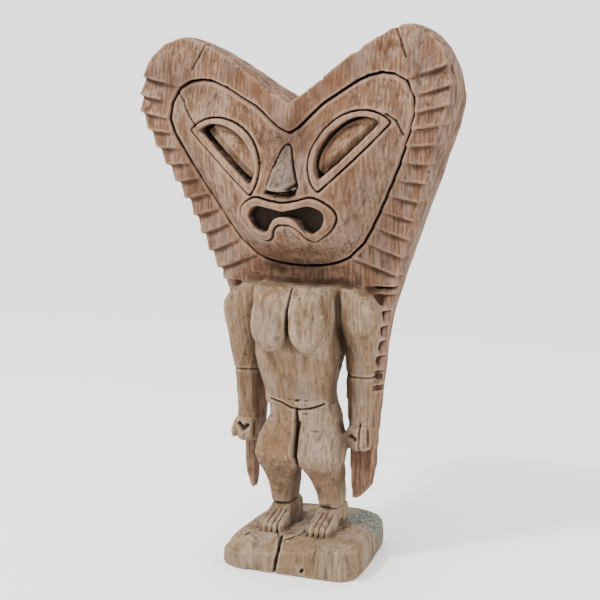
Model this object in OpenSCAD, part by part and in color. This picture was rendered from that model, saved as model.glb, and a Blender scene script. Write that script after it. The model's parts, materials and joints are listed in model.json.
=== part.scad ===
// Carved wooden tiki figure on a block base, standing, with a heart-shaped crest.
// Origin: centre of the flat underside. +Z up, the figure faces -Y.
// Left and right are those of a viewer who faces the figure.

/* [Heights] */
// Height of the base block
base_h = 80; // [50:1:110]
// Height of the foot from the base to the ankle groove
foot_h = 48; // [35:1:65]
// Height of the leg from the ankle groove to the hip
leg_h = 204; // [150:1:260]
// Height of the hips, up to the waist groove
hips_h = 40; // [30:1:60]
// Height of the torso from the waist groove to the top of the chest
torso_h = 258; // [200:1:320]
// Height of the crest above the chest
crest_h = 553; // [440:1:680]

/* [Base and legs] */
// Width of the base block
base_w = 316; // [290:1:390]
// Depth of the base block
base_d = 326; // [290:1:400]
// Distance between the middles of the two ankles
stance = 112; // [100:1:140]
// Half width of a leg at the knee
knee_r = 48; // [36:1:50]
// Length of a foot
foot_l = 158; // [120:1:195]
// Width of a foot across the toes
foot_w = 58; // [44:1:72]
// How far the knees come forward of the ankles
knee_bend = 55; // [20:1:70]

/* [Body and arms] */
// Width of the torso between the armpits
torso_w = 176; // [140:1:200]
// Width of the torso at the waist
waist_w = 138; // [110:1:160]
// Depth of the torso at the chest, without the breasts
torso_d = 120; // [90:1:150]
// How far each breast stands out from the chest
breast_out = 34; // [20:1:50]
// Gap between the breasts
breast_gap = 4; // [3:1:20]
// Width over both shoulders
shoulder_w = 374; // [330:1:400]
// Width of a forearm
forearm_w = 56; // [44:1:60]
// Depth of an arm at the shoulder
arm_d = 62; // [40:1:80]
// Height of a hand
hand_h = 56; // [40:1:72]

/* [Crest] */
// Width of the crest at its widest
crest_w = 716; // [600:1:860]
// Width of the ridged border at the widest place
border_w = 79; // [60:1:100]
// Height of the plain border above the lobes of the face
brow_h = 96; // [70:1:120]
// Height of the recessed panel between chin and chest
chin_gap = 42; // [40:1:70]
// How far the crest comes forward at brow level
crest_front = 74; // [55:1:90]
// How far the crest reaches back at brow level
crest_back = 124; // [100:1:150]
// Distance from one ridge of the border to the next
ridge_pitch = 40; // [30:1:52]
// Depth of the gouge cut below a ridge, at the outer edge
ridge_cut = 15; // [6:1:20]
// Sideways lean of the crest over its height
crest_lean = 25; // [0:1:30]
// Sideways offset of the torso and arms from the middle of the base
body_shift = 8; // [0:1:14]

/* [Face] */
// How far the face stands out at the mouth, in front of the neck plane
face_out = 136; // [110:1:160]
// Length of each eye along its straight edge
eye_l = 208; // [170:1:214]
// Rise of the eye's curved edge
eye_rise = 90; // [70:1:100]
// Width of the eyelid band
lid_w = 16; // [10:1:20]
// Depth of the eye opening behind the eyelid
eye_deep = 14; // [8:1:18]
// Width of the mouth with its lips
mouth_w = 216; // [170:1:236]
// Height of the mouth with its lips
mouth_h = 108; // [90:1:126]
// Width of the lip band at the corners
lip_w = 23; // [16:1:28]
// How far the lips stand proud of the face
lip_out = 6; // [3:1:10]
// Width of the nose at its base
nose_w = 68; // [50:1:84]
// Height of the nose
nose_h = 94; // [70:1:118]
// How far the nose stands out of the face at its base
nose_out = 30; // [18:1:40]

/* [Hidden] */

// Levels
ankle_z = base_h + foot_h;
hip_z = ankle_z + leg_h;
waist_z = hip_z + hips_h;
neck_z = waist_z + torso_h;
elbow_z = waist_z + 0.22 * torso_h;
wrist_z = waist_z - 0.21 * torso_h;
hand_z = wrist_z - hand_h;
tail_z = hand_z - 0.46 * torso_h;
armpit_z = waist_z + 0.74 * torso_h;

// Planes on which neighbours meet
armpit_x = torso_w / 2;
arm_back = 14;
chest_y = -0.69 * torso_d;
crest_half = crest_w / 2;

// ---------- small functions ----------
function mix(a, b, t) = a + (b - a) * t;
function between(v, lo, hi) = min(max(v, lo), hi);

// Catmull-Rom curve through the points, n steps between neighbours
function curve_at(a, b, c, d, t) =
    0.5 * (2 * b + (c - a) * t + (2 * a - 5 * b + 4 * c - d) * t * t + (3 * b - a - 3 * c + d) * t * t * t);
function curve(pts, n) = [
    for (i = [0:len(pts) - 2], k = [0:n - 1])
        curve_at(pts[max(i - 1, 0)], pts[i], pts[i + 1], pts[min(i + 2, len(pts) - 1)], k / n),
    pts[len(pts) - 1]];
// Point at a fractional index of a list of points
function along(pts, f) = let (i = min(floor(f), len(pts) - 2)) mix(pts[i], pts[i + 1], f - i);
// Fractional index at which a curve last comes down through height z
function falls_to(pts, z) = let (hits = [for (i =
                                              [0:len(pts) - 2]) if (pts[i][1] >= z && pts[i + 1][1] < z) i],
                                 i = hits[len(hits) - 1])
    i + (pts[i][1] - z) / (pts[i][1] - pts[i + 1][1]);

// Horizontal oval ring of n points, squarer as its exponent falls
function ring(z, cx, cy, rx, ry, n = 28, square = 0.75) = [
    for (i = [0:n - 1]) let (a = 360 * (i + 0.5) / n, c = cos(a), s = sin(a))
        [cx + rx * sign(c) * pow(abs(c), square), cy + ry * sign(s) * pow(abs(s), square), z]];
// Box outline with elliptic corners: [x, y] radii at its low-y side and at its high-y side
function rounded(x0, x1, y0, y1, low, high, n = 6) = [
    for (q = [0:3], i = [0:n - 1])
        let (a = 180 + 90 * q + 90 * i / (n - 1), r = q < 2 ? low : high)
            [(q == 0 || q == 3 ? x0 + r.x : x1 - r.x) + r.x * cos(a),
             (q < 2 ? y0 + r.y : y1 - r.y) + r.y * sin(a)]];
function level(outline, z) = [for (p = outline) [p.x, p.y, z]];

// Solid through rings of points, closed by its first and last ring
module skin(rings) {
    n = len(rings[0]);
    polyhedron(points = [for (r = rings) each r],
               faces = concat([[for (i = [0:n - 1]) i]],
                              [for (k = [0:len(rings) - 2], i = [0:n - 1]) let (j = (i + 1) % n)
                                  each [[k * n + i, (k + 1) * n + i, (k + 1) * n + j],
                                        [k * n + i, (k + 1) * n + j, k * n + j]]],
                              [[for (i = [n - 1:-1:0]) (len(rings) - 1) * n + i]]));
}

// Solid through rings of points, each end closed by a fan to a middle point
module capped_skin(rings, first, last) {
    n = len(rings[0]);
    m = len(rings) * n;
    polyhedron(points = concat([for (r = rings) each r], [first, last]),
               faces = concat([for (i = [0:n - 1]) [m, i, (i + 1) % n]],
                              [for (k = [0:len(rings) - 2], i = [0:n - 1]) let (j = (i + 1) % n)
                                  each [[k * n + i, (k + 1) * n + i, (k + 1) * n + j],
                                        [k * n + i, (k + 1) * n + j, k * n + j]]],
                              [for (i = [0:n - 1]) [m + 1, (len(rings) - 1) * n + (i + 1) % n,
                                                    (len(rings) - 1) * n + i]]));
}

// Closed band: rings joined in a loop, the last back to the first
module band(rings) {
    n = len(rings[0]);
    m = len(rings);
    polyhedron(points = [for (r = rings) each r],
               faces = [for (k = [0:m - 1], i = [0:n - 1]) let (j = (i + 1) % n, q = (k + 1) % m)
                           each [[k * n + i, q * n + i, q * n + j], [k * n + i, q * n + j, k * n + j]]]);
}

module on_side(right) {
    if (right) children();
    else mirror([1, 0, 0]) children();
}

module shifted() {
    translate([-body_shift, 0, 0]) children();
}

// ---------- base and legs ----------
base_y = 22;
// Hewn outline of the block: [x, y] as shares of its half width and half depth, and the height of its rim
base_line = [[-1.01, -0.80, 0.56], [-0.87, -0.91, 0.56], [-0.62, -0.965, 0.6], [-0.15, -0.97, 0.7],
             [0.19, -0.985, 0.8],
             [0.51, -1, 0.9], [0.84, -0.985, 0.92], [0.97, -0.86, 0.9], [1, -0.47, 0.88], [0.965, 0.11, 0.82],
             [0.92, 0.66, 0.8], [0.76, 0.94, 0.8], [0.38, 1, 0.82], [-0.19, 0.985, 0.8], [-0.63, 0.92, 0.76],
             [-0.89, 0.66, 0.7], [-0.98, 0.17, 0.66], [-1, -0.38, 0.6], [-1.01, -0.80, 0.56]];
module base() {
    rim = curve(base_line, 3);
    // [share of the rim height, share of the way from the rim to the top, share of the outline]
    levels = [[0, 0, 0.985], [0.3, 0, 1], [0.85, 0, 0.99], [1, 0, 0.95], [1, 0.6, 0.87], [1, 1, 0.77]];
    color("#9a8468")
    skin([for (s = levels) [for (i = [0:len(rim) - 2]) let (p = rim[i])
        [s[2] * p[0] * base_w / 2, base_y + s[2] * p[1] * base_d / 2, base_h * mix(s[0] * p[2], 1, s[1])]]]);
}

// The ankle is a flat place on the foot; the leg stands on it
ankle_y = 18;
ankle_rx = 0.52 * knee_r;
ankle_ry = 0.78 * knee_r;
heel_y = ankle_y + 0.34 * foot_l;
toe_y = heel_y - foot_l;
// [place from toe to heel, half width, height], as shares of the foot
foot_shape = [[0, 0.80, 0.30], [0.08, 0.98, 0.44], [0.25, 1, 0.58], [0.42, 0.92, 0.84], [0.52, 0.90, 1],
              [0.93, 0.90, 1], [1, 0.76, 0.8]];
module foot() {
    color("#a8906f")
    skin([for (s = foot_shape)
        let (y = mix(toe_y, heel_y, s[0]), rx = s[1] * foot_w / 2, rz = s[2] * foot_h)
        [for (p = rounded(-rx, rx, 0, rz, [2, 2], [0.45 * rx, 0.3 * rz])) [stance / 2 + p.x, y,
                                                                           base_h + p.y]]]);
}

// [height share, sideways, forward share of the knee bend, half width, half depth as shares of knee_r]
leg_shape = [[0, 0, 0, 0.52, 0.78], [0.12, 0, 0.03, 0.58, 0.80], [0.33, -4, 0.35, 0.76, 0.86],
             [0.5, -9, 0.85, 0.94, 0.92], [0.62, -10, 1, 1, 0.98], [0.8, -11, 0.78, 0.94, 1.02],
             [1, -16, 0.42, 0.76, 1.06]];
leg_gap = 3;
module leg() {
    color("#a58c6c")
    skin([for (s = leg_shape) let (rx = s[3] * knee_r, ry = s[4] * knee_r,
                                   cx = max(stance / 2 + s[1], leg_gap + rx),
                                 cy = ankle_y - s[2] * knee_bend)
        level(rounded(cx - rx, cx + rx, cy - ry, cy + ry, [0.5 * rx, 0.45 * ry], [0.6 * rx, 0.5 * ry]),
              mix(ankle_z, hip_z, s[0]))]);
}

module hips() {
    hip_rx = stance / 2 + 0.44 * knee_r;
    hip_x = 3;
    hip_y = ankle_y - 0.42 * knee_bend;
    color("#a08766")
    skin([for (s = [[0, 0, 1.1], [0.35, 0.05, 1.16], [0.75, 0.45, 1.16], [1, 0.85, 1.1]])
        ring(mix(hip_z, waist_z, s[0]), mix(hip_x, -body_shift / 2, s[0]), hip_y,
             mix(hip_rx, waist_w / 2, s[1]),
             s[2] * knee_r, n = 36, square = 0.55)]);
}

// ---------- torso and arms ----------
// [height share, half width, front, back, corner share]; fronts and backs are shares of torso_d
torso_shape = [[0, waist_w / 2, -0.53, 0.37, 0.5], [0.12, waist_w / 2 + 1, -0.56, 0.41, 0.45],
               [0.29, mix(waist_w, torso_w, 0.6) / 2, -0.63, 0.47, 0.4],
                   [0.42, torso_w / 2 - 3, -0.69, 0.51, 0.38],
               [0.62, torso_w / 2 - 3, -0.69, 0.58, 0.35], [0.74, armpit_x, -0.69, 0.62, 0.3],
               [0.94, armpit_x, -0.69, 0.68, 0.25], [1, armpit_x, -0.62, 0.70, 0.2]];
module torso() {
    color("#a68d6d")
    skin([for (s = torso_shape) let (d = (s[3] - s[2]) * torso_d / 2)
        level(rounded(-s[1], s[1], s[2] * torso_d, s[3] * torso_d, [s[4] * s[1] * 0.7, s[4] * d],
                      [s[4] * s[1], s[4] * d]), mix(waist_z, neck_z, s[0]))]);
}

// Breast: a broad plate on the flat of the chest that hangs down to a round lobe
breast_top = 0.93;
breast_mid = 0.71;
breast_low = 0.46;
module breast() {
    cz = mix(waist_z, neck_z, breast_mid);
    rx = (armpit_x - 1 - breast_gap / 2) / 2;
    cx = breast_gap / 2 + rx;
    // The upper half is squarish; the lobe below swings a little towards the middle
    function edge(a) = let (c = cos(a), v = sin(a))
        v > 0 ? [rx * sign(c) * pow(abs(c), 0.6), (breast_top - breast_mid) * torso_h * pow(v, 0.8)]
              : [rx * c + 0.08 * rx * v, (breast_mid - breast_low) * torso_h * v];
    function stand(z) = breast_out * lookup(z / torso_h,
                                            [[-0.25, 0.9], [-0.1, 1], [0.08, 0.75], [0.24, 0.3]]);
    color("#bda584")
    capped_skin([for (s = [[0, 1], [0.4, 0.985], [0.75, 0.92], [0.94, 0.78], [1, 0.5]])
        [for (i = [0:31]) let (e = edge(360 * (i + 0.5) / 32) * s[1])
            [cx + e.x, chest_y - s[0] * stand(e.y), cz + e.y]]],
        [cx, chest_y, cz], [cx, chest_y - 1.01 * stand(0), cz]);
}

shoulder_x = shoulder_w / 2;
elbow_out = shoulder_x - 20;
// [height share from elbow to neck, inner side, outer side, front]
upper_arm_shape = [[0, elbow_out - forearm_w, elbow_out, -0.42],
                   [0.25, elbow_out - forearm_w - 3, elbow_out + 9, -0.62],
                   [0.5, armpit_x + 8, shoulder_x - 2, -0.85], [0.65, armpit_x, shoulder_x, -1],
                   [0.78, armpit_x, shoulder_x, -1.05], [0.89, armpit_x, shoulder_x - 16, -1.02],
                   [1, armpit_x, shoulder_x - 50, -0.85]];
// Part of an arm: flat against the flange, with round front corners
function arm_ring(z, x0, x1, front) = let (rx = 0.44 * (x1 - x0), ry = 0.7 * (arm_back - front))
    level(rounded(x0, x1, front, arm_back, [rx, ry], [3, 3]), z);
module upper_arm() {
    color("#a58b6a")
    skin([for (s = upper_arm_shape) arm_ring(mix(elbow_z, neck_z, s[0]), s[1], s[2],
                                             s[3] * arm_d + arm_back)]);
}

// [height share from wrist to elbow, width as a share of forearm_w, front]
forearm_shape = [[0, 0.84, -0.42], [0.35, 0.86, -0.44], [0.75, 0.96, -0.46], [1, 1, -0.44]];
function wrist_out(t) = mix(elbow_out - 8, elbow_out, t);
module forearm() {
    color("#a0876a")
    skin([for (s = forearm_shape) let (x1 = wrist_out(s[0]))
        arm_ring(mix(wrist_z, elbow_z, s[0]), x1 - forearm_w * s[1], x1, s[2] * arm_d + arm_back)]);
}

// [height share from knuckles to wrist, width, front]; the thumb lies along one side
hand_shape = [[0, 0.74, -0.48], [0.25, 0.92, -0.60], [0.7, 0.94, -0.60], [1, 0.84, -0.48]];
thumb_shape = [[0.08, 1, 3], [0.35, 1, 6], [0.65, 0.5, 7], [0.92, 0.1, 5]];
module hand(thumb_side) {
    hand_x = wrist_out(0) - 0.42 * forearm_w;
    thumb_x = hand_x + thumb_side * 0.34 * forearm_w;
    color("#a58c6d")
    union() {
        skin([for (s = hand_shape) arm_ring(mix(hand_z, wrist_z, s[0]), hand_x - forearm_w * s[1] / 2,
                                            hand_x + forearm_w * s[1] / 2, s[2] * arm_d + arm_back)]);
        skin([for (s = thumb_shape) ring(mix(hand_z, wrist_z, s[0]), thumb_x + thumb_side * 11 * s[1],
                                         -0.15 * arm_d, s[2], 1.5 * s[2], n = 12)]);
    }
}

// The crest carried down behind the arm as a flat flange
// [height share from hand to neck, gap to the armpit plane, outer side, back as a share of crest_back]
flange_shape = [[0, 20, 0.445, 0.42], [0.2, 12, 0.458, 0.44], [0.45, 8, 0.487, 0.44],
                [0.66, 5, 0.503, 0.50], [0.82, 1, 0.52, 0.62], [0.92, 0, 0.541, 0.70], [1, 0, 0.568, 0.72]];
// The flange stands clear of the knee and the hip beside it
knee_side = stance / 2 + knee_r - 4;
hip_side = stance / 2 + 0.44 * knee_r + 7;
function beside_leg(share) = lookup(share, [[0, knee_side], [0.2, hip_side], [0.3, 0]]);
function flange_x0(side, s) = max(armpit_x + s[1] - side * body_shift, beside_leg(s[0]));
function flange_x1(side, s) = let (arm = mix(wrist_out(0), elbow_out, min(1, s[0] / 0.6)) + 4)
    max(s[2] * crest_half, arm - side * body_shift * (1 - s[0]));
module flange(side) {
    color("#8f765c")
    mirror([side < 0 ? 1 : 0, 0, 0])
    skin([for (s = flange_shape)
        let (x0 = flange_x0(side, s), x1 = flange_x1(side, s), y1 = s[3] * crest_back)
        [[x0, arm_back, 0], [x1 - 5, arm_back, 0], [x1, arm_back + 5, 0], [x1, y1 - 8, 0], [x1 - 8, y1, 0],
         [x0 + 6, y1, 0], [x0, y1 - 6, 0]] + [for (i = [0:6]) [0, 0, mix(hand_z, neck_z, s[0])]]]);
}

// Pointed end of the flange, under the hand: its tip is at the inner side, and the left one is slimmer
module tail(side) {
    x0 = flange_x0(side, flange_shape[0]) + (side < 0 ? 14 : 0);
    x1 = flange_x1(side, flange_shape[0]);
    w = (x1 - x0) * (side < 0 ? 0.62 : 0.94);
    y1 = flange_shape[0][3] * crest_back;
    color("#8f765c")
    mirror([side < 0 ? 1 : 0, 0, 0])
    skin([for (s = [[1, 0, 1, 0], [0.6, 0, 0.98, -2], [0.25, 0.01, 0.85, -6], [0, 0.08, 0.3, -16]])
        let (a = x0 + s[1] * w, b = x0 + s[2] * w, z = mix(tail_z, hand_z, s[0]))
        [[a, arm_back - 2, z], [b, arm_back - 2, z], [b, y1 + s[3], z], [a, y1 + s[3], z]]]);
}

// ---------- crest ----------
// Outline from the notch over the lobe and down to the chest, as shares of crest_half and crest_h
crest_line = curve([[0, 0.72], [0.15, 0.783], [0.36, 0.888], [0.56, 0.965], [0.73, 1], [0.89, 0.95],
                    [0.98, 0.85],
                    [0.998, 0.74], [0.965, 0.665], [0.877, 0.524], [0.79, 0.38], [0.704, 0.235],
                        [0.631, 0.108],
                    [0.568, 0]], 5);
crest_pts = [for (p = crest_line) [p.x * crest_half, neck_z + p.y * crest_h]];
// Front and back of the crest over its height
front_line = [[0, -0.03], [0.13, 0.19], [0.31, 0.38], [0.45, 0.62], [0.6, 0.97], [0.67, 1], [0.74, 0.86],
              [0.82, 0.72], [0.9, 0.62], [1, 0.36]];
back_line = [[0, 0.72], [0.16, 0.76], [0.31, 0.86], [0.45, 1], [0.6, 1], [0.67, 0.87], [0.74, 0.7],
             [0.82, 0.5],
             [0.9, 0.36], [1, 0.2]];
function front_y(z) = -crest_front * lookup((z - neck_z) / crest_h, front_line);
function back_y(z) = crest_back * lookup((z - neck_z) / crest_h, back_line);
// Plane between the crest slab and what is carved in front of it
function split_y(z) = mix(0.29 * crest_back, -0.15 * crest_back, (z - neck_z) / crest_h);
// The head leans sideways as it rises
function leaned(u, y, z) = let (t = (z - neck_z) / crest_h)
    [u - crest_lean * t, y, z + crest_lean * t * u / crest_h];

// Outline of the face, as shares of its half width and its height
face_half = crest_half - border_w;
face_h = crest_h - brow_h - chin_gap;
face_z = neck_z + chin_gap;
face_line = curve([[0, 0.708], [0.12, 0.757], [0.25, 0.844], [0.43, 0.918], [0.573, 0.973], [0.724, 1],
                   [0.86, 0.986],
                   [0.953, 0.936], [1, 0.844], [0.986, 0.745], [0.882, 0.584], [0.728, 0.386], [0.563, 0.188],
                   [0.448, 0.089], [0.305, 0.03], [0.143, 0.005], [0, 0]], 5);
face_pts = [for (p = face_line) [p.x * face_half, face_z + p.y * face_h]];

// Stations along the border: [outer point, inner point, gouge depth 0..1]
first_ridge = neck_z + 0.845 * crest_h;
ridge_count = floor((first_ridge - neck_z - 20) / ridge_pitch) + 1;
step_w = 3;
function ridge_z(k) = first_ridge - k * ridge_pitch;
// The ridges fan out: the inner end is lower than the outer end at the top, and higher further down
function inner_z(k, cut) = mix(first_ridge - 26, face_z + 0.05 * face_h,
                               (k + 0.09 * cut) / (ridge_count - 0.9));
top_end = [falls_to(crest_pts, ridge_z(0)), falls_to(face_pts, inner_z(0, 0))];
low_end = falls_to(face_pts, inner_z(ridge_count - 1, 1));
top_steps = 9;
low_steps = 5;
neck_x = crest_pts[len(crest_pts) - 1].x;
stations = concat(
    [for (i = [0:top_steps - 1]) [along(crest_pts, top_end[0] * i / top_steps),
                                  along(face_pts, top_end[1] * i / top_steps), 0]],
    [for (k = [0:ridge_count - 1], cut = [0, 1]) let (z = ridge_z(k) - cut * step_w)
        [along(crest_pts, falls_to(crest_pts, z)) - [cut * 0.35 * ridge_cut, 0],
         along(face_pts, falls_to(face_pts, inner_z(k, cut))), cut]],
    [for (i = [1:low_steps]) let (t = i / low_steps)
        [[neck_x * min(1, 2 - 2 * t), neck_z], along(face_pts, mix(low_end, len(face_pts) - 1, t)), 0]]);

// Gouge depth falls off from the outer to the inner end
cut_shares = [1, 0.8, 0.55, 0.35];
module crest_border(side) {
    rows = [for (s = stations) concat(
        [for (i = [0:3]) let (p = mix(s[0], s[1], i / 3))
            leaned(side * p.x, front_y(p.y) + s[2] * ridge_cut * cut_shares[i], p.y)],
        [for (i = [3, 0]) let (p = mix(s[0], s[1], i / 3)) leaned(side * p.x, split_y(p.y), p.y)])];
    color("#8c705a")
    skin(side > 0 ? rows : [for (i = [len(rows) - 1:-1:0]) rows[i]]);
}

// Outline of the whole heart, walked round once, and the slab behind the face
function both_sides(half) = concat([for (i = [0:len(half) - 1]) half[i]],
                                   [for (i = [len(half) - 2:-1:1]) [-half[i].x, half[i].y]]);
// The same for an outline whose half stays clear of the middle line
function both_halves(half) = concat(half, [for (i = [len(half) - 1:-1:0]) [-half[i].x, half[i].y]]);
heart_mid = face_z + 0.42 * face_h;
function toward(p, s) = [p.x * s, mix(heart_mid, p.y, s)];
crest_loop = both_sides(concat(crest_pts, [[neck_x / 2, neck_z], [0, neck_z]]));
function loop_ring(loop, s) = [for (p = loop) toward(p, s)];
module crest() {
    color("#8c705a")
    capped_skin(concat(
        [for (s = [0.5, 1]) [for (p = loop_ring(crest_loop, s)) leaned(p.x, split_y(p.y), p.y)]],
        [for (s = [1, 0.985, 0.9, 0.7, 0.5, 0.25])
            [for (p = loop_ring(crest_loop, s)) let (y0 = split_y(p.y), y1 = back_y(p.y))
                leaned(p.x, s == 1 ? mix(y0, y1, 0.85) : y1, p.y)]]),
        leaned(0, split_y(heart_mid), heart_mid), leaned(0, back_y(heart_mid), heart_mid));
}

// ---------- face ----------
face_loop = both_sides([for (s = stations) s[1]]);
// Radius of the face outline by direction from its middle
face_polar = [for (i = [len(stations) - 1:-1:0]) let (p = stations[i][1])
    [atan2(p.y - heart_mid, p.x), norm([p.x, p.y - heart_mid])]];
// How far out a point lies between the middle (0) and the outline (1)
function reach(u, z) = norm([u, z - heart_mid]) / lookup(atan2(z - heart_mid, abs(u)), face_polar);
middle_line = [[0, 0.70], [0.03, 0.83], [0.09, 0.94], [0.19, 0.99], [0.3, 1], [0.4, 0.95], [0.5, 0.88],
               [0.6, 0.8],
               [0.7, 0.7], [0.8, 0.62], [0.9, 0.53], [1, 0.42]];
// The face lies below the border on the lobes and level with it further down
sunk_line = [[0, 2], [0.5, 2], [0.65, 9], [1, 10]];
function face_y(u, z) = let (v = (z - face_z) / face_h, rim = front_y(z) + lookup(v, sunk_line),
                             s = min(1, reach(u, z)))
    mix(rim, -face_out * lookup(v, middle_line), 1 - pow(s, 2.6));

eye_mid = [0.548 * face_half, face_z + 0.5814 * face_h];
// The left eye sits a little lower
left_drop = 9;
eye_turn = 42.8;
eye_floor = -0.26 * face_out;
mouth_floor = -0.60 * face_out;
nose_floor = -0.42 * face_out;
mouth_z = face_z + 0.272 * face_h;
nose_z = face_z + 0.422 * face_h;

// Half-moon: a nearly straight edge and a half ellipse towards the brow, inset from the eyelid's outline
edge_bow = 2;
function half_moon(inset, side) = let (l = eye_l / 2 - 1.15 * inset, r = eye_rise - 2 * inset,
                                       mid = eye_mid - [0, side < 0 ? left_drop : 0],
                                       ax = [cos(eye_turn), sin(eye_turn)],
                                           up = [-sin(eye_turn), cos(eye_turn)])
    [for (i = [0:19]) let (a = 180 * i / 19) mid - ax * l * cos(a) + up * (inset + r * sin(a)),
     for (i = [1:5]) mid + ax * l * mix(1, -1, i / 6) + up * (inset - edge_bow * sin(30 * i))];
// Mouth outline: the right half as shares of half width and height, inset by the lip band
lip_line = curve([[0.04, 0.33], [0.3, 0.37], [0.6, 0.43], [0.88, 0.28], [1, 0.06], [0.87, -0.22],
                  [0.56, -0.46],
                  [0.36, -0.40], [0.26, -0.22], [0.14, -0.115], [0.04, -0.10]], 3);
hole_line = curve([[0.04, 0.17], [0.3, 0.21], [0.65, 0.26], [0.88, 0.21], [1, 0.05], [0.9, -0.14],
                   [0.68, -0.28],
                   [0.46, -0.2], [0.3, -0.03], [0.14, 0.035], [0.04, 0.045]], 3);
function mouth_loop(line, w) = both_halves([for (p = line) [p.x * w, mouth_z + p.y * mouth_h]]);
lip_loop = mouth_loop(lip_line, mouth_w / 2);
hole_loop = mouth_loop(hole_line, mouth_w / 2 - lip_w);
nose_loop = both_halves([for (p = curve([[0.05, 1], [0.3, 0.91], [0.58, 0.62], [0.86, 0.26], [1, 0.06],
                                         [0.72, -0.03],
                                         [0.05, -0.05]], 3))
    [p.x * nose_w / 2, nose_z + p.y * nose_h]]);

// A pocket with a flat floor, cut from the front
module pocket(loop, side, floor_y) {
    rows = [for (y = [-2 * face_out, floor_y]) [for (p = loop) leaned(side * p.x, y, p.y)]];
    skin(side > 0 ? rows : [rows[1], rows[0]]);
}

// A piece laid into a pocket: its front is given ring by ring, from the outline to the middle
function loop_mid(loop) = [for (i = [0, 1]) let (v = [for (p = loop) p[i]]) (max(v) + min(v)) / 2];

module face() {
    steps = [1, 0.985, 0.93, 0.86, 0.76, 0.64, 0.5, 0.36, 0.22, 0.1];
    color("#a98f72")
    // The carved front is one faceted surface, kept at its own size
    resize([0, 0, 0])
    difference() {
        capped_skin(concat(
            [for (s = [0.5, 1]) [for (p = loop_ring(face_loop, s)) leaned(p.x, split_y(p.y), p.y)]],
            [for (s = steps) [for (p = loop_ring(face_loop, s)) leaned(p.x, face_y(p.x, p.y), p.y)]]),
            leaned(0, split_y(heart_mid), heart_mid), leaned(0, face_y(0, heart_mid), heart_mid));
        for (side = [-1, 1]) pocket(half_moon(0, side), side, eye_floor);
        pocket(lip_loop, 1, mouth_floor);
        pocket(nose_loop, 1, nose_floor);
    }
}

module eyelid(side) {
    outer = half_moon(0, side);
    inner = half_moon(lid_w, side);
    function lid_ring(loop, lift) = [for (p = loop) leaned(side * p.x, face_y(p.x, p.y) - lift, p.y)];
    function floor_ring(loop) = [for (p = loop) leaned(side * p.x, eye_floor, p.y)];
    rings = [floor_ring(outer), lid_ring(outer, 0), lid_ring(mix(outer, inner, 0.15), 3),
             lid_ring(mix(outer, inner, 0.85), 3), lid_ring(inner, 0), floor_ring(inner)];
    color("#a98f72")
    band(side > 0 ? rings : [for (i = [len(rings) - 1:-1:0]) rings[i]]);
}

// The eyeball swells to a long ridge along the opening
module eyeball(side) {
    loop = half_moon(lid_w, side);
    mid = loop_mid(loop);
    rings = concat([[for (p = loop) leaned(side * p.x, eye_floor, p.y)]],
                   [for (s = [1, 0.8, 0.6, 0.4, 0.2]) [for (p = loop) let (q = mix(mid, p, s))
                       leaned(side * q.x, min(face_y(q.x, q.y) + eye_deep * (0.75 + s * s),
                                              eye_floor - 3), q.y)]]);
    ends = [leaned(side * mid.x, eye_floor, mid.y),
            leaned(side * mid.x, face_y(mid.x, mid.y) + 0.75 * eye_deep, mid.y)];
    color("#8a6a4c")
    if (side > 0) capped_skin(rings, ends[0], ends[1]);
    else capped_skin([for (i = [len(rings) - 1:-1:0]) rings[i]], ends[1], ends[0]);
}

module lips() {
    function lip_ring(t, lift) = [for (i = [0:len(lip_loop) - 1]) let (p = mix(lip_loop[i], hole_loop[i], t))
        leaned(p.x, face_y(p.x, p.y) - lift, p.y)];
    function floor_ring(loop) = [for (p = loop) leaned(p.x, mouth_floor, p.y)];
    color("#a48a6c")
    band([floor_ring(lip_loop), lip_ring(0, 0), lip_ring(0.2, lip_out), lip_ring(0.8, lip_out),
          lip_ring(1, 0.4 * lip_out), floor_ring(hole_loop)]);
}

module nose() {
    tip = [0, nose_z + 0.04 * nose_h];
    function stand(p) = nose_out * between(1 - (p.y - tip.y) / nose_h, 0.1, 1);
    color("#958775")
    capped_skin(concat([[for (p = nose_loop) leaned(p.x, nose_floor, p.y)]],
                       [for (s = [[1, 0.1], [0.92, 0.5], [0.72, 0.8], [0.4, 0.96]])
                           [for (p = nose_loop) let (q = mix(tip, p, s[0]))
                               leaned(q.x, face_y(q.x, q.y) - s[1] * stand(q), q.y)]]),
                leaned(0, nose_floor, tip.y), leaned(0, face_y(0, tip.y) - stand(tip), tip.y));
}

base();
on_side(false) foot();  // foot_left
on_side(true) foot();  // foot_right
on_side(false) leg();  // leg_left
on_side(true) leg();  // leg_right
hips();
shifted() torso();
shifted() on_side(false) breast();  // breast_left
shifted() on_side(true) breast();  // breast_right
shifted() on_side(false) upper_arm();  // upper_arm_left
shifted() on_side(true) upper_arm();  // upper_arm_right
shifted() on_side(false) forearm();  // forearm_left
shifted() on_side(true) forearm();  // forearm_right
shifted() on_side(false) hand(1);  // hand_left
shifted() on_side(true) hand(-1);  // hand_right
flange(-1);  // flange_left
flange(1);  // flange_right
tail(-1);  // tail_left
tail(1);  // tail_right
crest();
crest_border(-1);  // crest_border_left
crest_border(1);  // crest_border_right
face();
nose();
lips();
eyelid(-1);  // eyelid_left
eyelid(1);  // eyelid_right
eyeball(-1);  // eyeball_left
eyeball(1);  // eyeball_right
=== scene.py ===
import json
import math

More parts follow.
